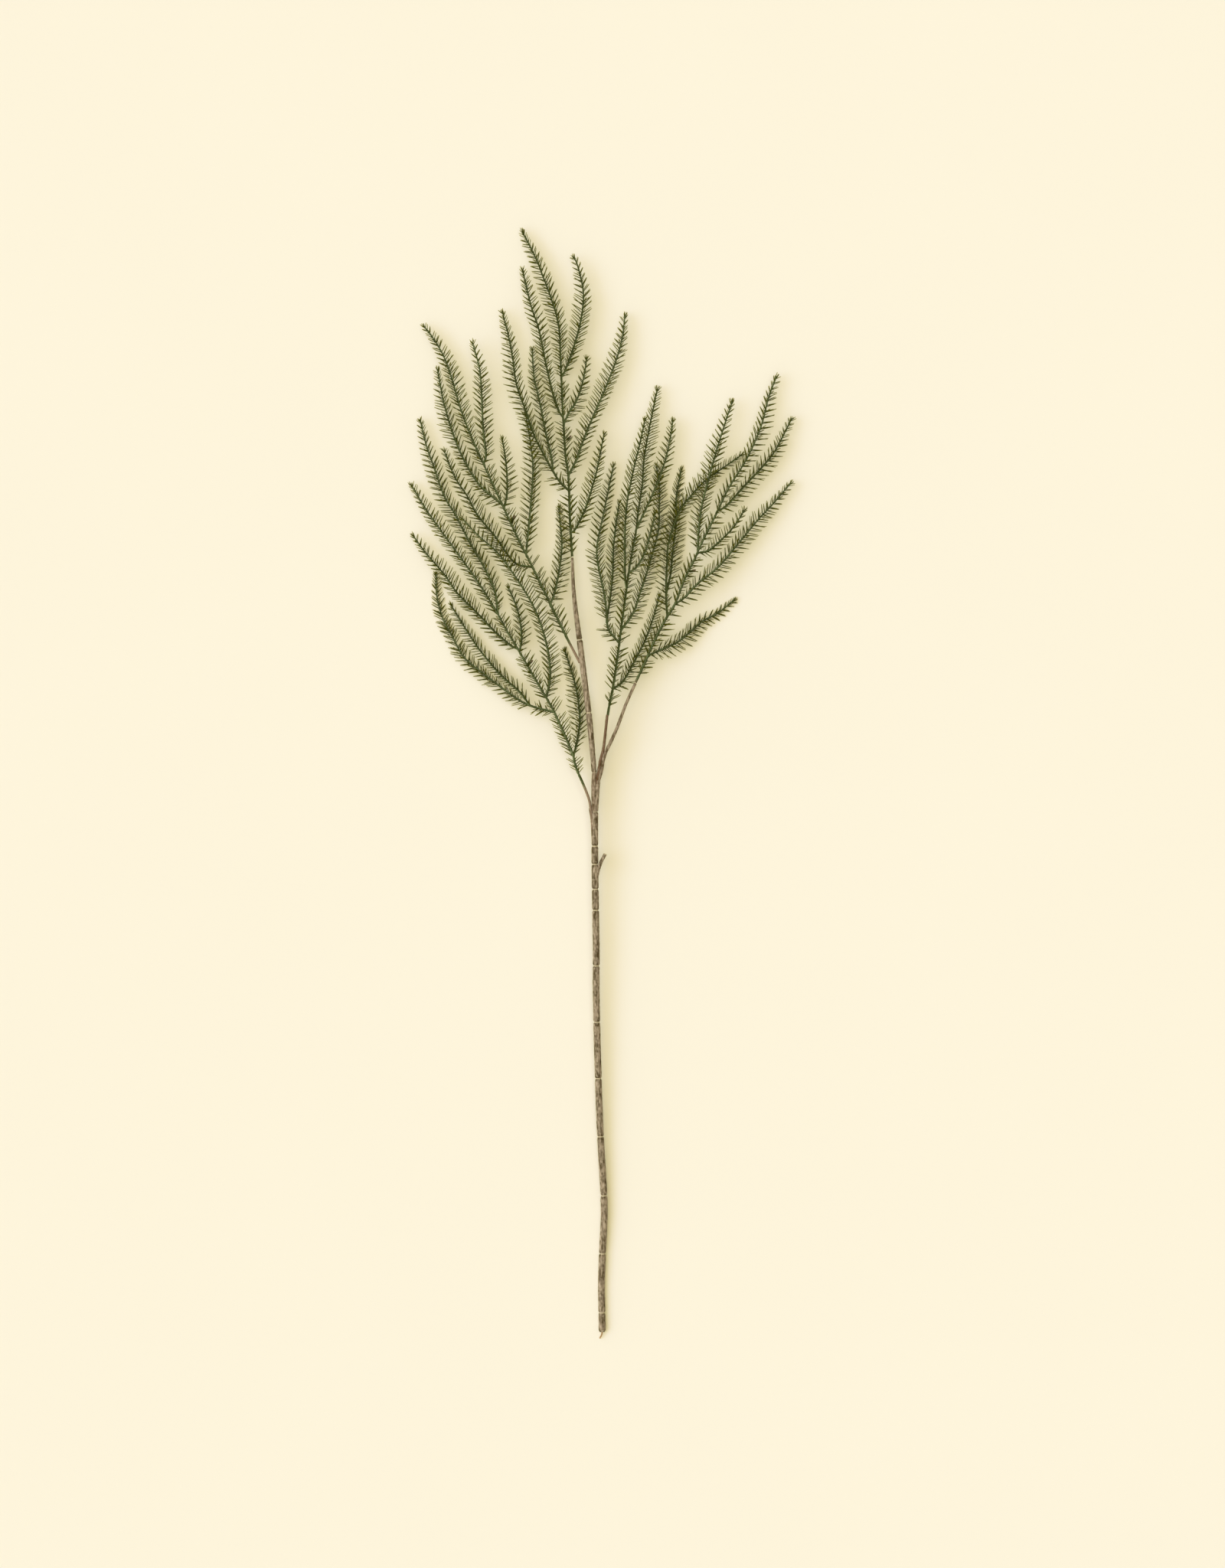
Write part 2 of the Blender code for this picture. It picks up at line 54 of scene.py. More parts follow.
# Stem: points on its centre line, then where one sleeve ends and the next begins
STEM_ROUTE = [
    (1.2, -573, 3.34), (0.8, -548, 3.34), (0.4, -524, 3.5), (1.4, -492, 4.4), (3.3, -440, 6.7),
    (-0.7, -364, 9.7), (-3, -300, 12.5), (-5, -220, 16), (-5, -172, 18), (-6.3, -84, 21.5),
    (-6.2, -28, 23.5), (-6.2, 0, 24.5), (-7.6, 18, 25), (-9, 36, 25.5), (-13, 76, 26.5), (-21, 140, 28),
    (-28, 196, 28.5), (-30, 238, 28),
]
SLEEVE_JOINTS = (
    -573, -553, -491, -430, -368, -307, -248, -189, -131, -109, -83, -64, -28, 12.5, 75, 151, 237,
)
STEM_RADIUS = 3.53
# Sleeves whose radius isn't the stem's: (at their lower end, at their upper end)
SLEEVE_RADII = {12: (3.4, 3.3), 14: (2.6, 3.2), 15: (3.0, 3.1), 16: (3.0, 1.4)}
# Moulded strands, from low to high: route, radius at each end, share of red-brown
STRANDS = {
    "stem_sleeve_10": [
        (
            [(-5.0, -97, 20.2), (-3.6, -90.5, 22), (-1.6, -84.5, 22.8), (1.2, -78.2, 23.1), (4.6, -72, 23.3)],
            2.2, 1.75, 0.0,
        ),
    ],
    "stem_sleeve_12": [
        ([(-8.2, -63, 21.4), (-8.7, -50, 22.6), (-9.2, -38, 23), (-10.9, -24.5, 23)], 1.3, 1.8, 0.6),
    ],
    "stem_sleeve_13": [
        ([(-7.0, -28, 23.5), (-7.5, -14, 24), (-7.4, 0, 24.4), (-6.8, 12.5, 24.8)], 2.6, 2.6, 0.3),
        (
            [(-5.6, -27.6, 23.4), (-4.9, -19, 23.8), (-3.9, -4, 24.4), (-2.4, 12, 24.8), (-1, 19, 25)],
            2.6, 2.4, 0.05,
        ),
    ],
    "side_fork_sleeve": [
        (
            [(-4.4, 1, 25.6), (-3.6, 8, 26.3), (-2.4, 14, 26.4), (-0.8, 25, 25.8), (1.4, 33, 25.5)],
            1.2, 1.5, 1.0,
        ),
        ([(-2.4, 6, 24.4), (0.2, 14.7, 24.7), (2.0, 25, 25), (4.4, 33, 25.2)], 2.2, 1.9, 0.15),
    ],
    "middle_stalk_sleeve": [
        (
            [(0.4, 29.5, 25.6), (2.0, 35, 25.4), (3.4, 44, 25.2), (6, 68, 25.4), (6.8, 73, 25.5)],
            1.5, 1.45, 1.0,
        ),
    ],
    "right_stalk_sleeve": [
        (
            [
                (2.9, 29, 25.1), (5.3, 35, 25.2), (9.4, 43, 25.6), (17, 60, 26.2), (26, 84, 26.8),
                (35.9, 106, 27),
            ],
            1.85, 1.5, 0.15,
        ),
    ],
}

WIRE_RADII = (0.85, 0.6)
WIRE_ROUTE = [(1.1, -560, 3.34), (1.1, -573.5, 3.34), (0.4, -576.6, 3.2), (-1.3, -580, 3)]

# Sprays: each route runs from a twig's root to its tip, as (x, y, height of the core)
TOP_SPRAY = {
    "axis": [
        (-30, 238, 28), (-32, 272, 27.5), (-34, 322, 26), (-37, 344, 25), (-40, 394, 23), (-42, 440, 21),
        (-44, 478, 19.5), (-52, 508, 18), (-61, 532, 16), (-68, 550, 14.5), (-82, 578, 12),
    ],
    "twig_1": [
        (-40, 384, 23.5), (-44, 390, 23), (-50, 408, 22), (-57, 437, 20), (-65, 476, 17.5),
        (-73, 500, 16), (-82, 538, 13),
    ],
    "twig_2": [
        (-41, 426, 22), (-37, 433, 22), (-29, 455, 21.5), (-22, 480, 20), (-18.5, 503, 18.5),
        (-19, 519, 17.5), (-24, 541, 16), (-28, 551, 15),
    ],
    "twig_3": [
        (-34, 307, 26.5), (-43, 316, 26), (-54, 334, 25.5), (-69, 363, 24.5), (-78, 389, 23),
        (-88, 417, 20.5), (-92, 444, 18), (-96, 466, 16), (-103, 494, 13),
    ],
    "twig_4": [
        (-50, 328, 25), (-52, 343, 23.5), (-58, 369, 20), (-63, 395, 16), (-69, 421, 11.5),
        (-71, 437, 8.5), (-72, 456, 6),
    ],
    "twig_5": [
        (-38, 378, 23.5), (-33, 389, 22.5), (-27, 398, 21), (-21, 413, 19), (-17, 431, 17), (-15, 445, 15.5),
    ],
    "twig_6": [
        (-33, 324, 26), (-26, 338, 25.5), (-17, 363, 24), (-7, 387, 22), (3, 410, 20), (15, 441, 17),
        (22, 466, 15), (25, 490, 13),
    ],
    "twig_7": [
        (-31, 263, 27.5), (-27, 266, 28), (-17, 286, 29), (-10, 307, 29), (-4, 329, 28), (1, 355, 26),
        (3, 365, 25),
    ],
}
UPPER_LEFT_SPRAY = {
    "axis": [
        (-22, 127, 27.5), (-36, 154, 27), (-52, 187, 26), (-71, 226, 25), (-89, 262, 24.5), (-102, 290, 24),
        (-119, 327, 22.5), (-134, 360, 20.5), (-147, 394, 18.5), (-156, 425, 16.5), (-165, 449, 15),
        (-177, 469, 13.5), (-185, 479, 12.5),
    ],
    "twig_1": [
        (-122, 336, 22.5), (-120, 345, 23), (-123, 373, 24), (-124, 398, 24), (-126, 429, 22.5),
        (-129, 444, 21.5), (-134, 461, 20),
    ],
    "twig_2": [
        (-102, 291, 23.5), (-110, 298, 22), (-125, 311, 19.5), (-138, 330, 16.5), (-149, 352, 14),
        (-157, 374, 12), (-165, 402, 10.5), (-171, 434, 9),
    ],
    "twig_3": [(-101, 289, 24), (-98, 303, 24), (-98, 324, 23.5), (-100, 343, 22), (-103, 361, 20.5)],
    "twig_4": [
        (-72, 227, 24.5), (-84, 229, 21), (-94, 236, 18), (-111, 260, 15.5), (-129, 282, 14.5),
        (-140, 302, 13.5), (-153, 322, 12.5), (-164, 349, 11),
    ],
    "twig_5": [
        (-78, 241, 24.5), (-76, 262, 22), (-73, 296, 18.5), (-71, 328, 15), (-73, 353, 11.5), (-79, 390, 7),
    ],
    "twig_6": [
        (-53, 188, 26), (-49, 198, 22), (-44, 222, 14.5), (-41, 250, 8), (-43, 277, 3.2), (-44, 291, 2.2),
    ],
}
LOWER_LEFT_SPRAY = {
    "axis": [
        (-10.5, -27, 23), (-12, -17, 23), (-16, -5.5, 23), (-20.5, 5, 23), (-24.3, 13.5, 23),
        (-27.5, 23, 22.5), (-31, 36, 22), (-50, 78, 21), (-69, 111, 20), (-87, 142, 19),
        (-99, 162, 18.5), (-111, 184, 18), (-128, 211, 17), (-145, 235, 16), (-164, 261, 14.5),
        (-183, 288, 13), (-198, 313, 12),
    ],
    "twig_1": [
        (-87, 142, 18.5), (-95, 146, 17.5), (-111, 160, 16.5), (-128, 178, 16), (-150, 200, 15.5),
        (-164, 220, 15), (-183, 242, 13.5), (-196, 260, 12),
    ],
    "twig_2": [
        (-50, 76, 20.5), (-69, 81, 16.5), (-83, 87, 13.5), (-103, 101, 10), (-124, 117, 7.5),
        (-143, 133, 5.5), (-155, 154, 4), (-166, 175, 3.2), (-172, 198, 2.8), (-173, 220, 2.8),
    ],
    "twig_3": [
        (-75, 84, 15.5), (-86, 98, 14), (-103, 113, 12.5), (-119, 131, 11), (-132, 148, 10),
        (-146, 170, 9), (-157, 188, 8.5),
    ],
    "twig_4": [
        (-57, 92, 20.5), (-54, 104, 21.5), (-53, 120, 23), (-57, 148, 25), (-69, 183, 26.5),
        (-88, 215, 26.5), (-108, 242, 24.5), (-127, 259, 22), (-145, 278, 19),
    ],
    "twig_5": [(-85, 139, 19), (-83, 150, 18), (-84, 168, 16), (-89, 188, 13.5), (-97, 206, 11.5)],
    "twig_6": [
        (-28, 33, 22), (-24, 50, 18), (-22, 69, 12.5), (-25, 96, 6.5), (-31, 119, 3.2), (-38, 141, 2.2),
    ],
    "twig_7": [
        (-108, 182, 17.5), (-111, 202, 15), (-122, 227, 12), (-137, 253, 10.5), (-152, 282, 10),
        (-164, 302, 10.5), (-175, 333, 11), (-183, 356, 11), (-189, 381, 10.5),
    ],
}
MIDDLE_SPRAY = {
    "axis": [
        (7, 72.5, 25.5), (9, 84, 25.5), (12.3, 100, 25.5), (14.8, 116, 25.5), (18, 139, 25), (22, 170, 24.5),
        (27, 206, 24), (29, 222, 23.5), (33, 245, 22.5), (37, 267, 21.5), (39, 286, 20.5), (43, 312, 19),
        (45, 340, 17.5), (50, 370, 15.5), (55, 395, 13.5), (59, 414, 12),
    ],
    "twig_1": [
        (26, 209, 24.5), (25, 222, 26), (25, 237, 27.5), (25, 262, 29), (27, 293, 29), (33, 324, 28),
        (41, 358, 26), (46, 381, 24),
    ],
    "twig_2": [(37, 267, 22), (46, 286, 22), (56, 308, 21), (66, 335, 19), (72, 360, 17), (75, 380, 15)],
    "twig_3": [
        (18, 149, 24.5), (8, 162, 22), (6, 176, 20.5), (4, 196, 19), (-3, 230, 16.5), (-4, 250, 15),
        (3, 285, 12.5), (8, 310, 11), (13, 334, 10),
    ],
    "twig_4": [(6, 172, 20.5), (9, 192, 17), (12, 218, 14), (13, 248, 12), (16, 275, 10.5), (19, 295, 9.5)],
    "twig_5": [
        (29, 221, 23.5), (36, 226, 25), (44, 238, 26.5), (50, 256, 27), (55, 276, 26), (56, 283, 25.5),
    ],
    "twig_6": [
        (23, 164, 24.5), (34, 180, 21), (41, 201, 17), (48, 222, 13.5), (54, 243, 10.5), (60, 266, 8.5),
        (61, 290, 7.5), (61, 312, 7), (58, 334, 7),
    ],
    "twig_7": [(13, 100, 25), (23, 108, 22.5), (34, 127, 18), (47, 153, 14), (56, 179, 11.5), (61, 198, 10)],
}
RIGHT_SPRAY = {
    "axis": [
        (36, 106.5, 27), (47, 130, 27), (53, 144, 27), (66, 170, 26.5), (77, 188, 26), (87, 214, 25.5),
        (98, 236, 25), (104, 250, 24.5), (120, 282, 23), (133, 309, 21.5), (153, 342, 19.5), (167, 374, 17),
        (175, 404, 14.5), (183, 426, 13),
    ],
    "twig_1": [
        (101, 244, 24.5), (102, 266, 24.5), (105, 290, 24.5), (112, 318, 24), (120, 347, 22),
        (130, 379, 19), (137, 400, 17),
    ],
    "twig_2": [
        (122, 286, 23), (131, 291, 22.5), (149, 311, 20.5), (166, 329, 18), (180, 346, 15.5),
        (190, 364, 13), (199, 382, 11),
    ],
    "twig_3": [
        (77, 188, 25.5), (88, 196, 24.5), (100, 209, 23), (121, 226, 21), (136, 243, 19), (150, 260, 17),
        (165, 278, 15), (180, 294, 13), (198, 315, 10.5),
    ],
    "twig_4": [
        (102, 242, 24.5), (112, 244, 26), (124, 254, 28), (136, 266, 29), (145, 279, 29), (149, 286, 28.5),
    ],
    "twig_5": [
        (52, 136, 26.5), (61, 140, 22), (70, 144, 18), (84, 152, 11.5), (106, 171, 5), (121, 179, 3),
        (139, 193, 2.2),
    ],
    "twig_6": [
        (69, 178, 25.5), (68, 200, 21.5), (69, 232, 17.5), (71, 254, 16), (81, 284, 14), (94, 302, 12),
        (110, 319, 10.5), (130, 333, 9.5), (147, 345, 9),
    ],
    "twig_7": [
        (69, 203, 20.5), (73, 222, 14), (75, 244, 8.5), (78, 268, 4.8), (79, 286, 3.3), (79, 303, 2.6),
        (84, 330, 2.4),
    ],
}
SPRAYS = {
    "top_spray": TOP_SPRAY,
    "upper_left_spray": UPPER_LEFT_SPRAY,
    "lower_left_spray": LOWER_LEFT_SPRAY,
    "middle_spray": MIDDLE_SPRAY,
    "right_spray": RIGHT_SPRAY,
}
# Short cut buds on a twig's side: root, then tip
CUT_BUDS = {
    "top_spray_axis": ((-36, 359, 24.5), (-31, 364, 25.5)),
    "upper_left_spray_axis": ((-94, 273, 24.5), (-89.5, 281, 25)),
    "lower_left_spray_axis": ((-77, 124, 20), (-71, 130, 21)),
    "right_spray_axis": ((92, 222, 25.5), (99, 224, 26)),
}

# Cores: radius at the root and at the tip, and the small pads that needles stand on
AXIS_RADII = (1.35, 0.75)
TWIG_RADII = (1.2, 0.7)
CORE_SIDES = 8
CORE_RINGS = 4  # for each needle place
PAD_SWELL = 0.16  # share of the radius
BUD_RADIUS = 1.15
FORK_RUN = 3.5  # from where a twig leaves its parent's centre line to its own root

# Needles
NEEDLE_PITCH = 6.2
NEEDLE_LENGTH = 13.4
TIP_NEEDLE_LENGTH = 5.5
NEEDLE_TAPER = 60  # over this much of a twig, its needles shorten towards the tip
ROOT_TAPER = 14  # and over this much, towards its root
ROOT_SHARE = 0.5
NEEDLE_THICKNESS = 1.06
NEEDLE_FLATNESS = 0.7
NEEDLE_SIDES = 6
# Distance along a needle, then share of its thickness
NEEDLE_PROFILE = ((0, 0.8), (0.2, 1), (0.65, 0.92), (0.92, 0.55))
# Rows on each side: roll above the horizontal, share of the length, angle to the core, share that grew,
# how light their colour is, and how far along the pitch they stand
NEEDLE_ROWS = (
    (12, 1.0, 51, 1.0, 0.3, 0.0), (-18, 0.92, 56, 1.0, 0.55, 0.35),
    (46, 0.6, 44, 0.6, 0.7, 0.15), (-52, 0.62, 46, 0.6, 0.7, 0.55),
)
LEAN = (4, 12)  # degrees by which a twig's needles spread wider on one side than on the other
NEEDLE_CURL = 0.03  # how far a needle's tip bends forward, as a share of its length
SHORTEST_NEEDLE = 2.6
SAME_LAYER = 4  # twigs of one spray whose heights differ by less were moulded side by side
TIP_TUFT = 7
BARE_ROOT = 2
BARE_STALKS = {
    "upper_left_spray_axis": 30, "lower_left_spray_axis": 40, "middle_spray_axis": 8, "right_spray_axis": 8,
}
BROWN_STALKS = {"upper_left_spray_axis": 26, "lower_left_spray_axis": 30, "right_spray_axis": 5}
FLOOR_GAP = 0.15
# Numbers that a mesh's vertices carry for its material
NEEDLE_MARKS = ("along", "tone", "dust", "brown")
BARK_MARKS = ("raised", "ring", "shade", "red")

# Bark sleeves
BARK_SIDES = 28
BARK_RING = 1.0
BARK_HEIGHT = 0.3
NECK = 0.78  # share of the radius at a sleeve's ends
SHOULDER = 1.7
RING_LENGTH = 0.9  # of the pale ring at a sleeve's end

CAMERA_LENS = 100
CAMERA_SENSOR = 36
PHOTO_HEIGHT = 2048
MM_PER_PIXEL = 0.8
AIM = Vector((0.0114, -0.0005, 0.015))


def smooth_route(points, step=SAMPLE):
    """Evenly spaced points on a smooth curve through a route's own points."""
    own = np.array(points, float) + CENTRING
    knots = np.vstack((2 * own[0] - own[1], own, 2 * own[-1] - own[-2]))
    share = np.linspace(0, 1, 12, endpoint=False)[:, None]
    pieces = []
    for a, b, c, d in zip(knots, knots[1:], knots[2:], knots[3:]):
        bend = (2 * a - 5 * b + 4 * c - d) * share**2 + (3 * b - a - 3 * c + d) * share**3
        pieces.append(b + ((c - a) * share + bend) / 2)
    return respaced(np.vstack((*pieces, own[-1])), step)


def respaced(line, step):
    """The same line with its points one step apart, or as near to that as its length allows."""
    along = distances_along(line)
    return at_distances(line, np.linspace(0, along[-1], max(2, round(along[-1] / step) + 1)))


def distances_along(line):
    return np.concatenate(([0], np.cumsum(np.linalg.norm(np.diff(line, axis=0), axis=1))))


def at_distances(line, wanted):
    along = distances_along(line)
    return np.column_stack([np.interp(wanted, along, line[:, i]) for i in range(3)])


def directions(line):
    """Unit vectors for each point of a line: to the side, up and ahead."""
    ahead = unit(np.gradient(line, axis=0))
    side = unit(np.cross(ahead, (0, 0, 1)))
    return side, np.cross(side, ahead), ahead


def unit(vectors):
    return vectors / np.linalg.norm(vectors, axis=-1, keepdims=True)


def extruded(mesh, end):
    """Extrudes an end face in place and returns the new end face."""
    grown = bmesh.ops.extrude_face_region(mesh, geom=[end, *end.edges])["geom"]
    return next(item for item in grown if isinstance(item, bmesh.types.BMFace))


def new_mesh(*marks):
    """An empty mesh whose vertices carry these numbers, which the piece's material reads by name."""
    mesh = bmesh.new()
    for name in marks:
        mesh.verts.layers.float.new(name)
    return mesh


def tube(mesh, line, radii, sides):
    """Adds a closed round tube along a line, one ring a point. Returns its rings of vertices."""
    placings = [
        Matrix.Translation(Vector(point)) @ Matrix(np.column_stack(axes)).to_4x4() @ Matrix.Scale(radius, 4)
        for point, *axes, radius in zip(line, *directions(line), radii)
    ]
    made = bmesh.ops.create_circle(mesh, cap_ends=True, segments=sides, radius=1, matrix=placings[0])
    end = made["verts"][0].link_faces[0]
    rings = [list(end.verts)]
    for before, after in zip(placings, placings[1:]):
        end = extruded(mesh, end)
        bmesh.ops.transform(mesh, matrix=after @ before.inverted(), verts=end.verts)
        rings.append(list(end.verts))
    return rings


def finish_piece(name, mesh, material, node):
    """Turns a bmesh into a piece that stands for a node."""
    bmesh.ops.recalc_face_normals(mesh, faces=mesh.faces)
    bmesh.ops.scale(mesh, vec=(MM, MM, MM), verts=mesh.verts)
    data = bpy.data.meshes.new(name)
    mesh.to_mesh(data)
    mesh.free()
    data.materials.append(material)
    data.shade_smooth()
    piece = bpy.data.objects.new(name, data)
    bpy.context.scene.collection.objects.link(piece)
    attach(piece, "root")
    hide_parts(node)
    return piece


class Channel:
    """A node's output. Arithmetic on channels and numbers adds Math nodes to the same tree."""

    def __init__(self, socket):
        self.socket = socket

    def node(self, kind, settings=None, inputs=None, output=0):
        """Adds a node: its settings first, then its inputs' values or links. Returns one of its outputs."""
        tree = self.socket.id_data
        made = tree.nodes.new(kind)
        for name, value in (settings or {}).items():
            if name == "stops":
                set_stops(made.color_ramp, value)
            else:
                setattr(made, name, value)
        for name, value in (inputs or {}).items():
            if isinstance(value, Channel):
                tree.links.new(value.socket, made.inputs[name])
            else:
                made.inputs[name].default_value = value
        return Channel(made.outputs[output])

    def math(self, operation, first, second, clamp=False):
        settings = {"operation": operation, "use_clamp": clamp}
        return self.node("ShaderNodeMath", settings, {0: first, 1: second})

    def __add__(self, other):
        return self.math("ADD", self, other)

    def __sub__(self, other):
        return self.math("SUBTRACT", self, other)

    def __rsub__(self, other):
        return self.math("SUBTRACT", other, self)

    def __mul__(self, other):
        return self.math("MULTIPLY", self, other)

    def __truediv__(self, other):
        return self.math("DIVIDE", self, other)

    def __pow__(self, other):
        return self.math("POWER", self, other)

    __radd__ = __add__
    __rmul__ = __mul__

    def held(self):
        """The same value kept between 0 and 1."""
        return self.math("ADD", self, 0, clamp=True)

    def ramp(self, low, high):
        """0 below low, 1 above high and even in between."""
        return ((self - low) / (high - low)).held()


def set_stops(ramp, stops):
    while len(ramp.elements) < len(stops):
        ramp.elements.new(1)
    for element, (position, colour) in zip(ramp.elements, stops):
        element.position = position
        element.color = (*colour, 1)


class Finish:
    """A material: its shader, and channels that every recipe starts from."""

    def __init__(self, name, **values):
        self.material = bpy.data.materials.new(name)
        self.material.use_nodes = True
        self.shader = self.material.node_tree.nodes["Principled BSDF"]
        for socket, value in values.items():
            self.shader.inputs[socket.replace("_", " ")].default_value = value
        place = self.material.node_tree.nodes.new("ShaderNodeTexCoord")
        self.place = Channel(place.outputs["Object"])

    def mark(self, name):
        """A number that the piece's mesh carries."""
        settings = {"attribute_type": "GEOMETRY", "attribute_name": name}
        return self.place.node("ShaderNodeAttribute", settings, output="Fac")

    def grain(self, size_mm, detail=2.0, stretch=(1, 1, 1), roughness=0.5):
        """Noise between 0 and 1 with lumps of this size."""
        scaled = self.place.node("ShaderNodeMapping", {}, {"Vector": self.place, "Scale": stretch})
        inputs = {"Vector": scaled, "Scale": 1 / (size_mm * MM), "Detail": detail, "Roughness": roughness}
        return self.place.node("ShaderNodeTexNoise", {}, inputs)

    def mix(self, factor, first, second):
        """One colour over another."""
        inputs = {0: factor, 6: colour_input(first), 7: colour_input(second)}
        return self.place.node("ShaderNodeMix", {"data_type": "RGBA"}, inputs, output=2)

    def set(self, socket, channel):
        self.material.node_tree.links.new(channel.socket, self.shader.inputs[socket])

    def bump(self, height, distance_mm, strength=1.0):
        inputs = {"Height": height, "Distance": distance_mm * MM, "Strength": strength}
        self.set("Normal", self.place.node("ShaderNodeBump", {}, inputs))


def colour_input(value):
    return value if isinstance(value, Channel) else (*value, 1)


DARK_OLIVE = (0.026, 0.031, 0.003)
OLIVE = (0.102, 0.100, 0.006)
PALE_OLIVE = (0.26, 0.227, 0.035)
GREY_GREEN = (0.19, 0.235, 0.135)
RED_BROWN = (0.115, 0.050, 0.024)
TAUPE = (0.38, 0.30, 0.27)
DARK_BARK = (0.078, 0.052, 0.024)
MAUVE_GREY = (0.34, 0.26, 0.27)
BARK_WASH = (0.54, 0.46, 0.44)
RING_CREAM = (0.68, 0.59, 0.50)
LIT_FLOOR = (0.982, 0.905, 0.708)
# How the camera showed green and blue: the light that reached it, and how bright it came out
GREEN_TONES = ((0.4, 0.399), (0.58, 0.571), (0.72, 0.708), (0.81, 0.798), (0.905, 0.905))
BLUE_TONES = ((0.1, 0.078), (0.3, 0.23), (0.45, 0.37), (0.58, 0.52), (0.708, 0.708))


def needle_finish():
    """Moulded green plastic, darker at a needle's root, dusted grey-green along the cores."""
    finish = Finish("needle_green", Roughness=0.5, Specular_IOR_Level=0.06)
    along = finish.mark("along")
    tone = finish.mark("tone")
    dust = finish.mark("dust")
    brown = finish.mark("brown")
    patches = finish.grain(9, detail=1)
    fine = finish.grain(0.7, detail=2)
    lightness = (along * 0.6 + tone * 0.6 + patches * 0.4 - 0.3).held()
    green = finish.mix(lightness, DARK_OLIVE, OLIVE)
    green = finish.mix((along**2) * tone * 0.6, green, PALE_OLIVE)
    dusted = (dust * (fine * 1.6 - 0.3) * (patches * 1.6)).held()
    green = finish.mix(dusted, green, GREY_GREEN)
    finish.set("Base Color", finish.mix(brown, green, finish.mix(fine, RED_BROWN, TAUPE)))
    finish.set("Roughness", (0.38 + fine * 0.2 + dusted * 0.2))
    finish.bump(fine, 0.06)
    return finish.material


def bark_finish():
    """Moulded bark: dark and grey-brown streaks, pale lumps, a cream ring at each end, red-brown shoots, and
    painted shade that darkens it near the ends.
    """
    finish = Finish("bark_taupe", Roughness=0.75, Specular_IOR_Level=0.25)
    raised = finish.mark("raised")
    ring = finish.mark("ring")
    shade = finish.mark("shade")
    red = finish.mark("red")
    streak = finish.grain(2.0, detail=3, stretch=(1, 0.18, 1))
    patch = finish.grain(5, detail=2, stretch=(1, 0.6, 1))
    speck = finish.grain(0.9, detail=3)
    # the shade term darkens the bark within 5 mm of a sleeve's ends: painted shade where the sleeves meet
    body = (raised * 0.55 + streak * 3.0 + patch * 0.4 - 1.49 - shade * patch * 0.6).held()
    colour = finish.mix(body, DARK_BARK, TAUPE)
    colour = finish.mix(patch.ramp(0.5, 0.8) * 0.4, colour, MAUVE_GREY)
    wash = (raised * speck * 2.6 - 0.75).held()
    colour = finish.mix(wash * 0.5, colour, BARK_WASH)
    colour = finish.mix((red * (1.25 - speck)).held(), colour, RED_BROWN)
    colour = finish.mix((ring * (0.5 + speck)).held(), colour, RING_CREAM)
    finish.set("Base Color", colour)
    finish.set("Roughness", 0.62 + speck * 0.25)
    finish.bump(speck * 0.5 + streak * 0.5, 0.22)
    return finish.material


def wire_finish():
    """Dull steel wire with light rust."""
    finish = Finish("wire_rust", Roughness=0.5, Metallic=0.7)
    rust = finish.grain(1.2, detail=4)
    finish.set("Base Color", finish.mix(rust.ramp(0.35, 0.65), (0.52, 0.33, 0.22), (0.30, 0.15, 0.08)))
    finish.set("Roughness", 0.35 + rust * 0.4)
    finish.bump(rust, 0.04)
    return finish.material


def needle_template():
    """One straight needle along +Z, of length 1 and thickness 1: its vertices and its faces' corners."""
    mesh = bmesh.new()
    radius = NEEDLE_PROFILE[0][1] / 2
    bmesh.ops.create_circle(mesh, cap_ends=True, segments=NEEDLE_SIDES, radius=radius)
    end = mesh.faces[:][0]
    for (low, wide), (high, narrow) in zip(NEEDLE_PROFILE, NEEDLE_PROFILE[1:]):
        end = extruded(mesh, end)
        bmesh.ops.scale(mesh, vec=(narrow / wide, narrow / wide, 1), verts=end.verts)
        bmesh.ops.translate(mesh, vec=(0, 0, high - low), verts=end.verts)
    tip = bmesh.ops.poke(mesh, faces=[end])["verts"][0]
    tip.co.z = 1
    bmesh.ops.recalc_face_normals(mesh, faces=mesh.faces)
    mesh.verts.index_update()
    corners = [[v.index for v in face.verts] for face in mesh.faces]
    vertices = np.array([v.co[:] for v in mesh.verts])
    mesh.free()
    return vertices, corners


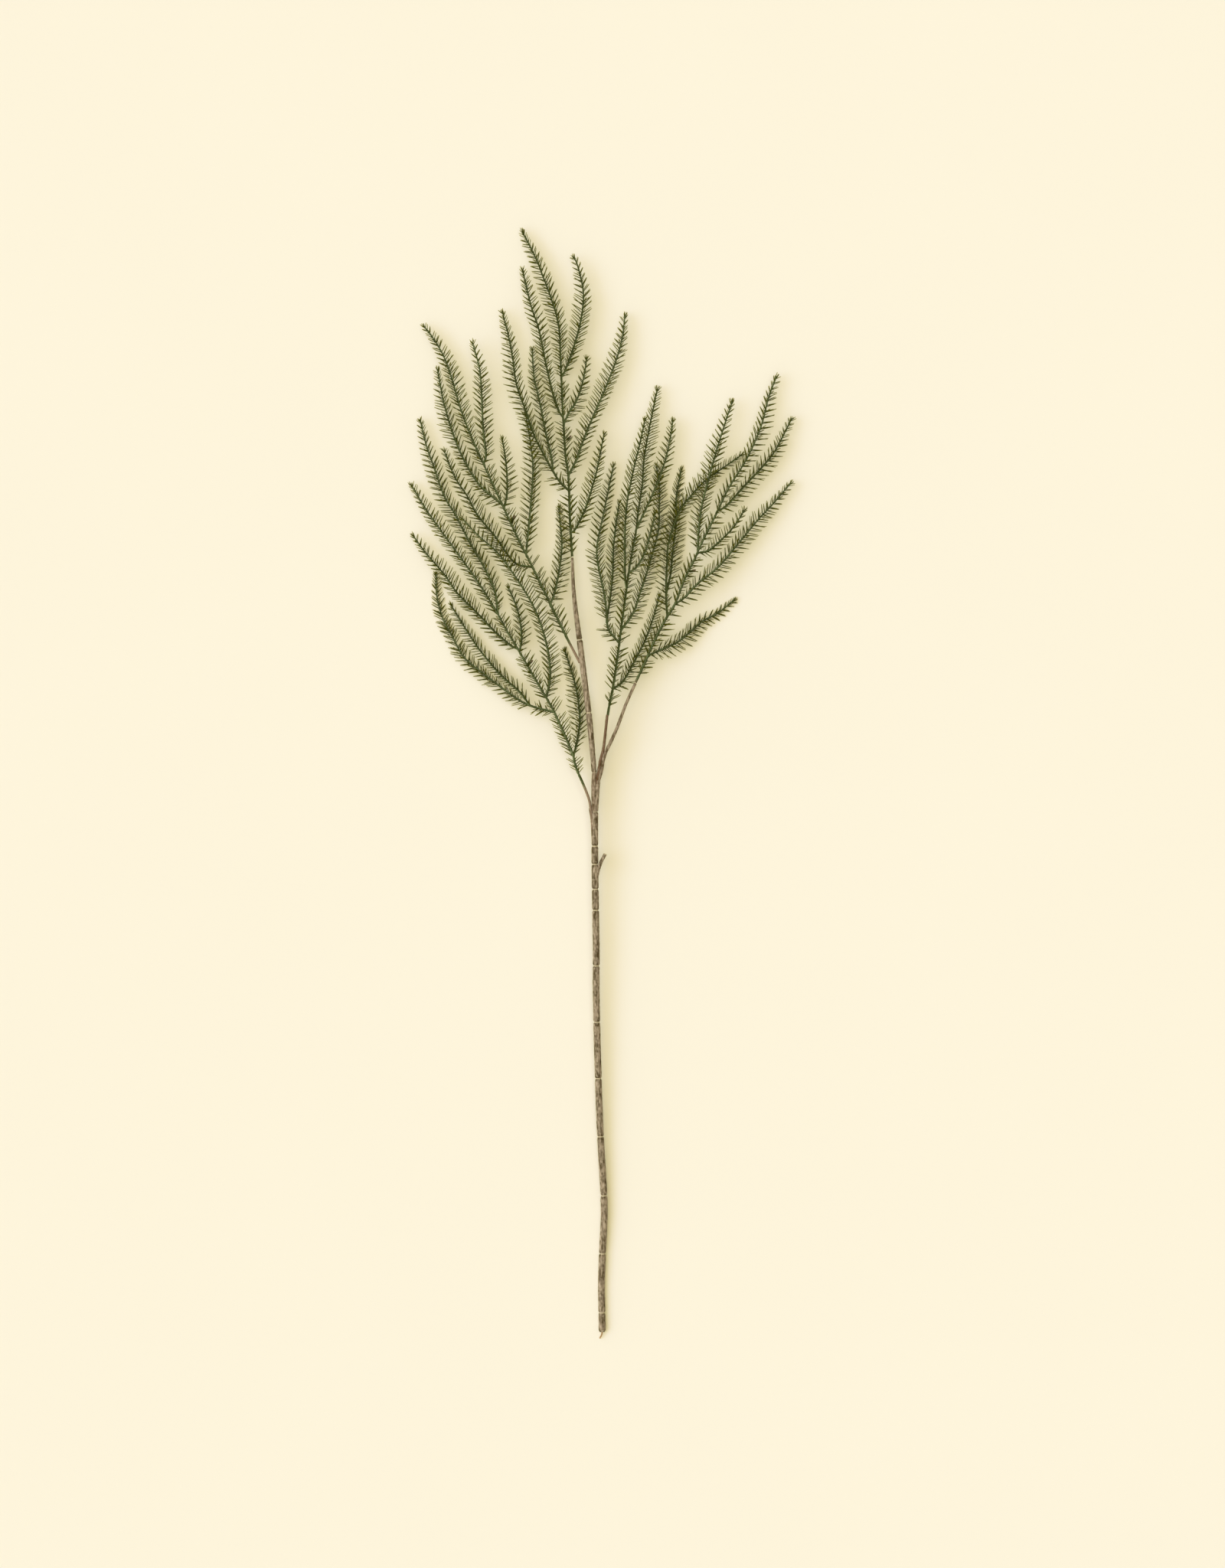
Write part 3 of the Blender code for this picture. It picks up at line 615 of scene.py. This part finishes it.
def needle_places(line, radii, bare, neighbours, rng):
    """Root, direction, bend, length and tone of every needle of a twig."""
    along = distances_along(line)
    side, up, ahead = directions(line)
    lean = rng.choice((-1, 1)) * rng.uniform(*LEAN)
    places = []

    def add(distance, turn, sway, length, angle, tone):
        i = min(int(np.searchsorted(along, distance)), len(line) - 1)
        outward = side[i] * math.cos(turn) + up[i] * math.sin(turn)
        heading = outward * math.sin(angle) + ahead[i] * math.cos(angle)
        root = line[i] + outward * radii[i] * 0.7
        heading = lifted(root, heading, length)
        bend = unit(ahead[i] - heading * (ahead[i] @ heading)) * NEEDLE_CURL * sway
        places.append((root, heading, bend, length, tone))

    for hand in (1, -1):
        for roll, share, angle, grown, light, offset in NEEDLE_ROWS:
            distance = bare + NEEDLE_PITCH * (offset + (0.25 if hand > 0 else 0.75))
            while distance < along[-1] - 1.5:
                left = along[-1] - distance
                full = TIP_NEEDLE_LENGTH + (NEEDLE_LENGTH - TIP_NEEDLE_LENGTH) * min(1, left / NEEDLE_TAPER)
                full *= ROOT_SHARE + (1 - ROOT_SHARE) * min(1, (distance - bare) / ROOT_TAPER)
                narrowing = 1 - 0.3 * max(0, 1 - left / 40)
                turn = math.radians(roll + rng.normal(0, 5))
                turn = turn if hand > 0 else math.pi - turn
                if rng.random() < grown:
                    tilt = math.radians((angle + hand * lean + rng.normal(0, 2.5)) * narrowing)
                    add(distance + rng.normal(0, 0.25), turn, rng.uniform(-0.5, 2),
                        full * share * (1 + hand * lean / 120) * rng.uniform(0.9, 1.07), tilt,
                        light + rng.uniform(-0.15, 0.2))
                distance += NEEDLE_PITCH
    for k in range(TIP_TUFT):
        turn = math.tau * (k + rng.uniform(-0.2, 0.2)) / TIP_TUFT
        add(along[-1] - rng.uniform(0.2, 2), turn, 1, TIP_NEEDLE_LENGTH * rng.uniform(0.6, 1),
            math.radians(rng.uniform(12, 30)), rng.uniform(0.3, 0.9))
    return shortened([np.array(column) for column in zip(*places)], line, neighbours)


def shortened(places, line, neighbours):
    """Needles end where they meet those of the next twig of the same moulding. The shortest are left out."""
    roots, headings, bends, lengths, tones = places
    shares = np.linspace(0.1, 1, 16)
    points = roots[:, None] + headings[:, None] * lengths[:, None, None] * shares[:, None]
    met = layer_distance(points, neighbours) < layer_distance(points, line)
    first = np.where(met.any(1), met.argmax(1), len(shares) - 1)
    lengths = lengths * shares[first]
    kept = lengths > SHORTEST_NEEDLE
    return [column[kept] for column in (roots, headings, bends, lengths, tones)]


def layer_distance(points, line):
    """How far each point is from a line. A small difference in height doesn't count."""
    flat = points.reshape(-1, 3)
    nearest = []
    for part in np.array_split(flat, max(1, len(flat) // 400)):
        apart = part[:, None] - line
        height = np.maximum(np.abs(apart[..., 2]) - SAME_LAYER, 0)
        nearest.append(np.sqrt(apart[..., 0] ** 2 + apart[..., 1] ** 2 + height**2).min(1))
    return np.concatenate(nearest).reshape(points.shape[:-1])


def lifted(root, heading, length):
    """A needle's heading, turned up where its tip would go below the surface that the spray lies on."""
    lowest = (NEEDLE_THICKNESS / 2 + FLOOR_GAP - root[2]) / length
    if heading[2] >= lowest:
        return heading
    flat = unit(heading * (1, 1, 0))
    lowest = min(lowest, 0.9)
    return flat * math.sqrt(1 - lowest**2) + np.array((0, 0, lowest))


def needle_mesh(places, template, rng):
    """All of a twig's needles as one mesh, with their marks."""
    vertices, corners = template
    roots, headings, bends, lengths, tones = places
    across = unit(np.cross(headings, (0, 0, 1)))
    above = np.cross(across, headings)
    x, y, z = vertices[:, 0], vertices[:, 1], vertices[:, 2]
    thick = NEEDLE_THICKNESS * rng.uniform(0.85, 1.15, len(roots)) * np.clip(lengths / 9, 0.72, 1)
    rise = z[None, :, None]
    reach = lengths[:, None, None] * (headings[:, None] * rise + bends[:, None] * rise**2)
    wide = thick[:, None, None] * across[:, None] * x[None, :, None]
    deep = thick[:, None, None] * NEEDLE_FLATNESS * above[:, None] * y[None, :, None]
    points = (roots[:, None] + reach + wide + deep).reshape(-1, 3)
    points[:, 2] = np.maximum(points[:, 2], FLOOR_GAP)
    faces = [[i + k * len(vertices) for i in face] for k in range(len(roots)) for face in corners]
    data = bpy.data.meshes.new("needles")
    data.from_pydata(points.tolist(), [], faces)
    tone = np.repeat(np.clip(tones, 0, 1), len(vertices))
    raised = np.clip(headings[:, 2] * 1.5 + 0.3, 0, 1)[:, None]
    near = np.clip(1 - z / 0.5, 0, 1)[None]
    dust = (0.5 * raised * near * rng.random((len(roots), 1))).ravel()
    marks = {"along": np.tile(z, len(roots)), "tone": tone, "dust": dust, "brown": np.zeros(len(points))}
    for name, values in marks.items():
        data.attributes.new(name, "FLOAT", "POINT").data.foreach_set("value", values.astype(np.float32))
    return data


def core_mesh(line, radii, brown, strip):
    """A twig's core, dusted in a strip along one flank."""
    mesh = new_mesh(*NEEDLE_MARKS)
    marks = mesh.verts.layers.float
    rings = tube(mesh, line, radii, CORE_SIDES)
    along = distances_along(line)
    for distance, point, side, up, ring in zip(along, line, *directions(line)[:2], rings):
        dusty = Vector(side * math.cos(strip) + up * math.sin(strip))
        lighter = 0.15 + 0.3 * noise.noise(Vector(point) / 14)
        for vertex in ring:
            facing = (vertex.co - Vector(point)).normalized() @ dusty
            vertex[marks["tone"]] = lighter
            vertex[marks["dust"]] = min(1, max(0, facing * 2.8 - 1.2))
            vertex[marks["brown"]] = min(1, max(0, (brown - distance) / 8))
    peak = bmesh.ops.poke(mesh, faces=[face for face in mesh.faces if len(face.verts) == CORE_SIDES])
    for vertex in peak["verts"]:
        vertex[marks["tone"]] = 0.5
    return mesh


def needled_twig(node, route, neighbours, template, material, rng):
    length = distances_along(route)[-1]
    count = max(8, round(length / NEEDLE_PITCH) * CORE_RINGS)
    stations = np.linspace(0, length, count + 1)
    line = at_distances(route, stations)
    root_radius, tip_radius = AXIS_RADII if node.endswith("axis") else TWIG_RADII
    radii = root_radius + (tip_radius - root_radius) * stations / length
    bare = BARE_STALKS.get(node, BARE_ROOT)
    swell = 1 + PAD_SWELL * np.cos(math.tau * np.arange(count + 1) / CORE_RINGS)
    radii = np.where(stations > bare, radii * swell, radii)
    strip = math.radians(rng.choice((35, 60, 120, 145)))
    mesh = core_mesh(line, radii, BROWN_STALKS.get(node, 0), strip)
    if node in CUT_BUDS:
        add_cut_bud(mesh, CUT_BUDS[node])
    needles = needle_mesh(needle_places(line, radii, bare, neighbours, rng), template, rng)
    mesh.from_mesh(needles)
    bpy.data.meshes.remove(needles)
    finish_piece(f"{node}_needled", mesh, material, node)


def add_cut_bud(mesh, ends):
    """A short thick stub with a dark end on a twig's side."""
    line = respaced(np.array(ends, float) + CENTRING, 1)
    shares = np.linspace(0, 1, len(line))
    radii = BUD_RADIUS * (0.75 + 0.25 * np.sin(math.pi * shares)) * np.where(shares == 1, 0.6, 1)
    brown = mesh.verts.layers.float["brown"]
    rings = tube(mesh, line, radii, CORE_SIDES)
    for share, ring in zip(shares, rings):
        for vertex in ring:
            vertex[brown] = max(0, share * 1.6 - 0.8)


def bark_lump(point, angle, distance, radius):
    """How far the bark stands out here, between about -1 and 1."""
    around = Vector((math.cos(angle), math.sin(angle), 0)) * radius
    lengthwise = noise.noise(around / 1.1 + Vector((point[0], 0, distance / 5.5)))
    lumps = noise.noise(around / 1.9 + Vector((7, point[0], distance / 2.3)))
    return 0.6 * lengthwise + 0.75 * lumps


def sleeve_outline(length, low_radius, high_radius):
    """Distances from the lower end and the radius there: a narrow neck and a round shoulder at each end."""
    ends = np.array((0, 0.5, 0.8, 1.1, 1.5, 2.1, 3.0))
    middle = np.linspace(3.9, length - 3.9, max(3, round((length - 7.8) / BARK_RING)))
    distances = np.concatenate((ends, middle, (length - ends)[::-1]))
    nearest = np.minimum(distances, length - distances)
    neck = NECK + (1 - NECK) * np.clip((nearest - 0.5) / SHOULDER, 0, 1) ** 0.5
    return distances, neck * (low_radius + (high_radius - low_radius) * distances / length)


def strand_outline(length, low_radius, high_radius):
    """Distances from the lower end and the radius there: even, with slightly rounded ends."""
    middle = np.linspace(0.35, length - 0.35, max(4, round(length / BARK_RING)))
    distances = np.concatenate(([0], middle, [length]))
    radii = low_radius + (high_radius - low_radius) * distances / length
    radii[[0, -1]] *= 0.85
    return distances, radii


def add_bark_tube(mesh, line, outline, red=0.0, rings_at=(), painted_shade_ends=()):
    """A tube of lumpy bark along a line, with pale rings at some of its ends and painted shade, bark darkened
    towards the end, at others.
    """
    length = distances_along(line)[-1]
    distances, radii = outline
    centres = at_distances(line, distances)
    marks = mesh.verts.layers.float
    rings = tube(mesh, centres, radii, BARK_SIDES)
    for distance, centre, radius, ring in zip(distances, centres, radii, rings):
        nearest = min(distance, length - distance)
        calm = min(1, nearest / SHOULDER)
        pale = max((1 - abs(distance - end) / RING_LENGTH for end in rings_at), default=0)
        # painted shade: the bark grows darker towards these ends, over 5 mm
        shade = max((1 - abs(distance - end) / 5 for end in painted_shade_ends), default=0)
        for vertex in ring:
            outward = vertex.co - Vector(centre)
            lump = bark_lump(centre, math.atan2(outward.z, outward.x), distance, radius)
            vertex.co += outward.normalized() * lump * BARK_HEIGHT * calm * min(1, radius / 2.6)
            vertex.co.z = max(vertex.co.z, 0)
            vertex[marks["raised"]] = min(1, max(0, 0.5 + lump))
            vertex[marks["ring"]] = max(0, pale)
            vertex[marks["shade"]] = max(0, shade)
            vertex[marks["red"]] = red


def add_strand(mesh, route, low_radius, high_radius, red):
    line = smooth_route(route)
    length = distances_along(line)[-1]
    cut = [length] if route is STRANDS["stem_sleeve_10"][0][0] else []
    add_bark_tube(mesh, line, strand_outline(length, low_radius, high_radius), red, cut)


def stem_stretch(stem, low, high):
    """The stretch of the stem from y = low to y = high, with points at both ends."""
    at = [[np.interp(y, stem[:, 1], stem[:, i]) for i in range(3)] for y in (low, high)]
    inside = stem[(stem[:, 1] > low + 0.5) & (stem[:, 1] < high - 0.5)]
    return np.vstack((at[0], inside, at[1]))


def make_bark_piece(node, mesh, material):
    for strand in STRANDS.get(node, []):
        add_strand(mesh, *strand)
    finish_piece(f"{node}_bark", mesh, material, node)


def make_stem(bark):
    stem = smooth_route(STEM_ROUTE)
    joints = [y + CENTRING[1] for y in SLEEVE_JOINTS]
    for number, (low, high) in enumerate(zip(joints, joints[1:]), start=1):
        node = f"stem_sleeve_{number:02d}"
        mesh = new_mesh(*BARK_MARKS)
        if number != STRANDS_ONLY:
            line = stem_stretch(stem, low, high)
            length = distances_along(line)[-1]
            radii = SLEEVE_RADII.get(number, (STEM_RADIUS, STEM_RADIUS))
            ends = [0, length] if number > 1 else [length]
            add_bark_tube(mesh, line, sleeve_outline(length, *radii), 0, ends, [0, length])
        make_bark_piece(node, mesh, bark)


def make_side_sleeves(bark):
    make_bark_piece("side_fork_sleeve", new_mesh(*BARK_MARKS), bark)
    make_bark_piece("middle_stalk_sleeve", new_mesh(*BARK_MARKS), bark)
    make_bark_piece("right_stalk_sleeve", new_mesh(*BARK_MARKS), bark)


def make_wire(rust):
    line = smooth_route(WIRE_ROUTE, 0.6)
    mesh = bmesh.new()
    tube(mesh, line, np.linspace(*WIRE_RADII, len(line)), 12)
    finish_piece("stem_wire_end", mesh, rust, "stem_wire")


def make_twigs(green):
    template = needle_template()
    rng = np.random.default_rng(SEED)
    for spray, parts in SPRAYS.items():
        routes = {part: smooth_route(points) for part, points in parts.items()}
        for part, points in parts.items():
            if part != "axis":
                others = [route for name, route in routes.items() if name != part]
                routes[part] = smooth_route([fork_point(points[0], others), *points])
        for part, route in routes.items():
            neighbours = np.vstack([other for name, other in routes.items() if name != part])
            needled_twig(f"{spray}_{part}", route, neighbours, template, green, rng)


def fork_point(root, others):
    """Where a twig leaves its parent: on the parent's centre line, a little before the twig's own root."""
    reach = [np.linalg.norm(line - (root + CENTRING), axis=1) for line in others]
    parent, near = min(zip(others, reach), key=lambda pair: pair[1].min())
    return parent[max(0, int(near.argmin()) - round(FORK_RUN / SAMPLE))] - CENTRING


def make_floor():
    mesh = bmesh.new()
    bmesh.ops.create_grid(mesh, x_segments=1, y_segments=1, size=40)
    data = bpy.data.meshes.new("backdrop")
    mesh.to_mesh(data)
    mesh.free()
    floor = bpy.data.objects.new("backdrop", data)
    bpy.context.scene.collection.objects.link(floor)
    finish = Finish("backdrop_cream", Roughness=0.9, Specular_IOR_Level=0.1)
    patches = finish.grain(260, detail=1)
    finish.set("Base Color", finish.mix(patches, (0.835, 0.795, 0.695), (0.845, 0.805, 0.705)))
    data.materials.append(finish.material)


def make_light():
    """A cool window at the left and the pale wall around it, a warm lamp above, and a dim room."""
    add_sun("cool_window", angle=46, towards=(0.86, -0.05, -1), colour=(0.606, 0.725, 1.0), power=1.217)
    add_sun("pale_wall", angle=150, towards=(2.2, -0.1, -1), colour=(1.0, 0.948, 0.777), power=1.739)
    add_sun("warm_lamp", angle=40, towards=(0, 0, -1), colour=(1.0, 0.912, 0.675), power=1.043)
    world = bpy.data.worlds.new("room")
    world.use_nodes = True
    background = world.node_tree.nodes["Background"]
    background.inputs["Color"].default_value = (1, 0.912, 0.708, 1)
    background.inputs["Strength"].default_value = 0.348
    add_backdrop(world.node_tree, background)
    bpy.context.scene.world = world


def add_backdrop(tree, room):
    """The colour of the lit floor where a low camera looks past it. It lights nothing."""
    backdrop = tree.nodes.new("ShaderNodeBackground")
    backdrop.inputs["Color"].default_value = (*LIT_FLOOR, 1)
    seen = tree.nodes.new("ShaderNodeLightPath")
    either = tree.nodes.new("ShaderNodeMixShader")
    tree.links.new(seen.outputs["Is Camera Ray"], either.inputs[0])
    tree.links.new(room.outputs[0], either.inputs[1])
    tree.links.new(backdrop.outputs[0], either.inputs[2])
    tree.links.new(either.outputs[0], tree.nodes["World Output"].inputs["Surface"])


def add_sun(name, angle, towards, colour, power):
    sun = bpy.data.lights.new(name, "SUN")
    sun.angle = math.radians(angle)
    sun.color = colour
    sun.energy = power
    lamp = bpy.data.objects.new(name, sun)
    lamp.rotation_mode = "QUATERNION"
    lamp.rotation_quaternion = Vector(towards).to_track_quat("-Z", "Y")
    bpy.context.scene.collection.objects.link(lamp)


def set_view():
    """Plain display colours, with green and blue held down in the middle tones as the camera showed them."""
    view = bpy.context.scene.view_settings
    view.view_transform = "Standard"
    view.use_curve_mapping = True
    for curve, tones in zip(view.curve_mapping.curves[1:], (GREEN_TONES, BLUE_TONES)):
        for tone, shown in tones:
            curve.points.new(tone, shown).handle_type = "AUTO_CLAMPED"
    view.curve_mapping.update()


def make_camera():
    """Straight above, so that the photograph's pixels fall on the surface at their own scale."""
    camera = bpy.data.cameras.new("camera")
    camera.lens = CAMERA_LENS
    camera.sensor_width = CAMERA_SENSOR
    holder = bpy.data.objects.new("camera", camera)
    height = PHOTO_HEIGHT * MM_PER_PIXEL * MM
    distance = height / 2 / (CAMERA_SENSOR / 2 / CAMERA_LENS)
    camera.clip_end = 50
    holder.location = AIM + Vector((0, 0, distance))
    bpy.context.scene.collection.objects.link(holder)
    bpy.context.scene.camera = holder


bark = bark_finish()
make_camera()
set_view()
make_light()
make_floor()
make_stem(bark)
make_side_sleeves(bark)
make_wire(wire_finish())
make_twigs(needle_finish())
